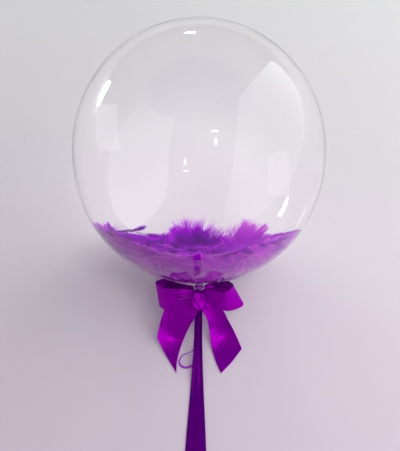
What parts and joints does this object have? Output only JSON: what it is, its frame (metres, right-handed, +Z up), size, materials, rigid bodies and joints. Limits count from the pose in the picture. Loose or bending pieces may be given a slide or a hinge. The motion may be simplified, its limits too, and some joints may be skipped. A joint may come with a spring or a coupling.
{
  "type": "clear bubble balloon",
  "caption": "Clear film bubble balloon with loose feathers sealed inside, a wide satin bow at its gathered neck and a long satin ribbon.",
  "frame": {"origin": "centre of the small flat spot that the balloon rests on, on the floor", "axes": "+Z up from the floor; the balloon's axis lies in the YZ plane, its neck, bow and long ribbon towards -Y and 38 degrees below the horizontal; +X to the right seen from the neck's side"},
  "size_m": [0.505, 0.9201, 0.515],
  "materials": {
    "film": "clear glossy film",
    "satin": "satin",
    "curling_ribbon": "glossy",
    "feathers": "soft down"
  },
  "bodies": {
    "root": {"balloon": "film", "satin_bow": "satin", "long_ribbon": "satin", "neck_tie": "curling_ribbon", "curling_ribbon": "curling_ribbon"}
  },
  "joints": []
}
